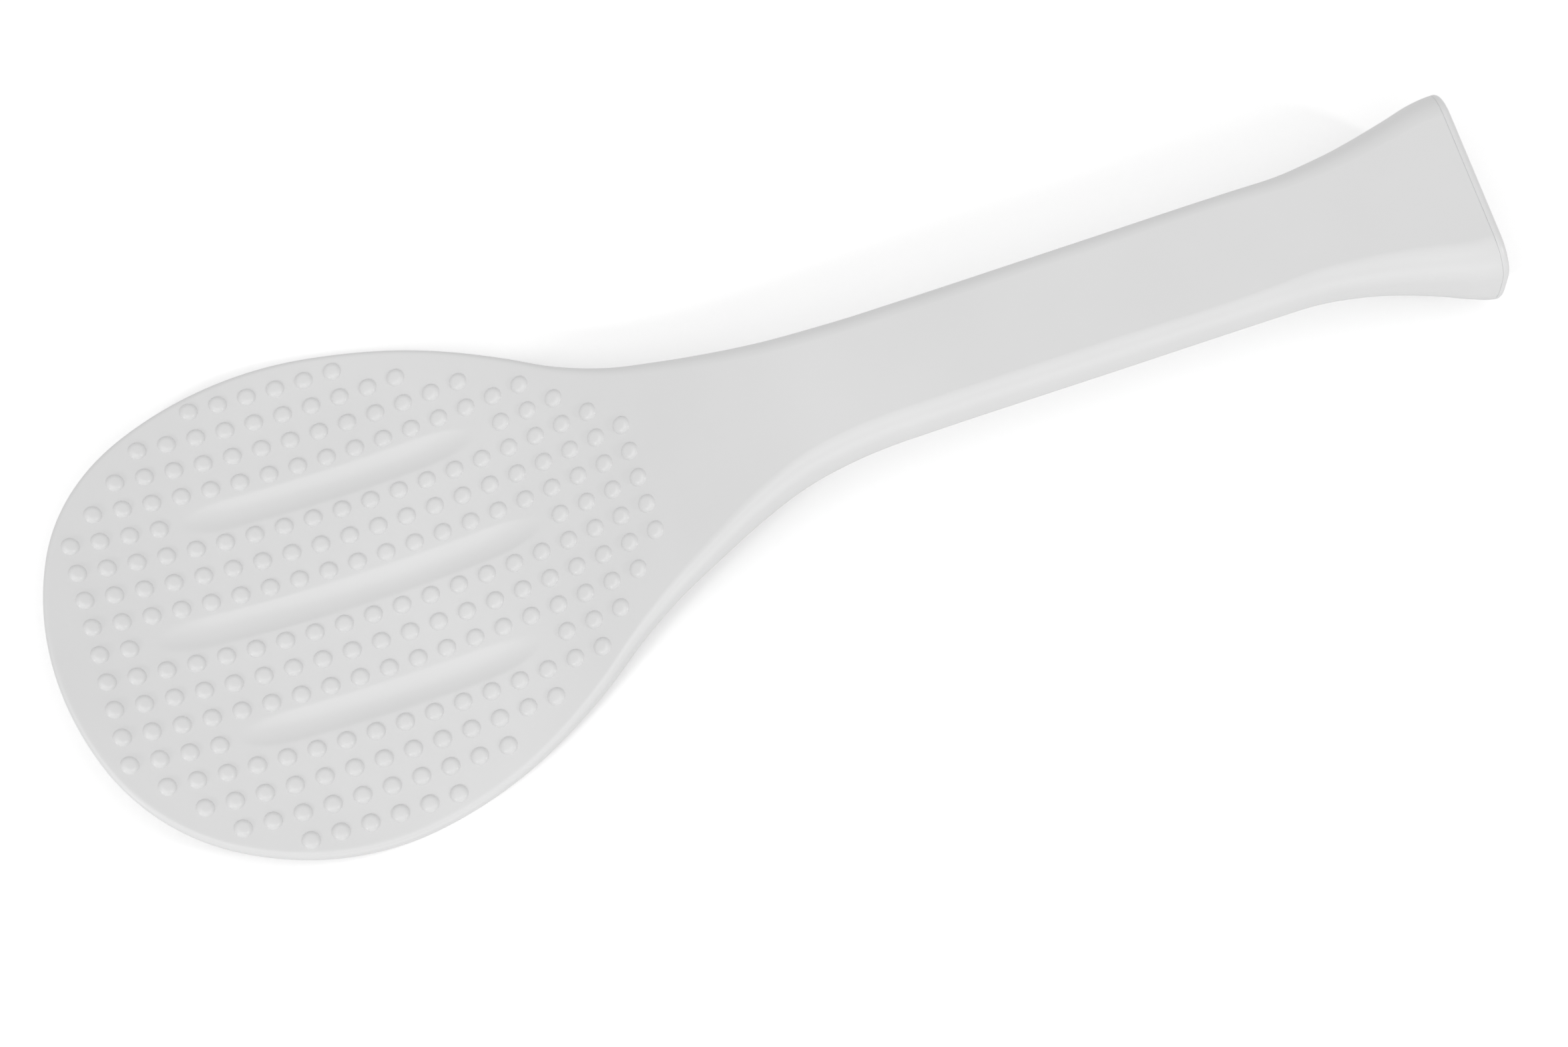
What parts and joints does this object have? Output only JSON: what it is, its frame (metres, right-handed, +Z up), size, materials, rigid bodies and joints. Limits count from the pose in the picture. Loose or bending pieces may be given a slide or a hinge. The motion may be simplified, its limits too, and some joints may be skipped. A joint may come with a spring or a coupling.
{
  "type": "rice paddle",
  "caption": "Standing rice paddle with a dished, studded and fluted blade, a straight hollow handle and a flared foot closed by a base cap.",
  "frame": {"origin": "under the middle of the paddle, on the surface that it lies on", "axes": "+X along the paddle from the blade's tip to the foot, +Z up out of the blade's studded face, Y across the blade"},
  "size_m": [0.2094, 0.0748, 0.0222],
  "materials": {
    "body": "white moulded plastic with a soft satin sheen",
    "cap": "the same white plastic as the body"
  },
  "bodies": {
    "root": {"paddle": "body", "base_cap": "cap"}
  },
  "joints": []
}
